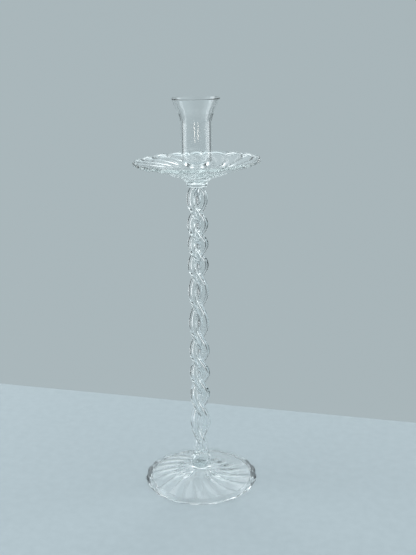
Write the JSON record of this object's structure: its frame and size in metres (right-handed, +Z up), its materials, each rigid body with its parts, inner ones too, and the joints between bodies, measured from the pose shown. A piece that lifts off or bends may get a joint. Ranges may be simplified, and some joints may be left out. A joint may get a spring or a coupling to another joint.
{
  "type": "glass candlestick",
  "caption": "Tall clear glass candlestick: fluted foot, stem of two twisted glass rods, fluted drip pan and a flared cup for a taper candle.",
  "frame": {"origin": "centre of the ring that the foot rests on", "axes": "+Z up along the stem, out of the candle cup's mouth"},
  "size_m": [0.1096, 0.1096, 0.3531],
  "materials": {
    "foot_glass": "clear glass, pressed flutes, fire polished",
    "stem_glass": "clear glass rod, fire polished",
    "pan_glass": "clear glass, fluted, fire polished",
    "cup_glass": "clear thin blown glass, fire polished"
  },
  "bodies": {
    "root": {"foot": "foot_glass", "foot_knop": "foot_glass", "stem_rod_1": "stem_glass", "stem_rod_2": "stem_glass", "stem_collar": "stem_glass", "drip_pan": "pan_glass", "candle_cup": "cup_glass"}
  },
  "joints": []
}
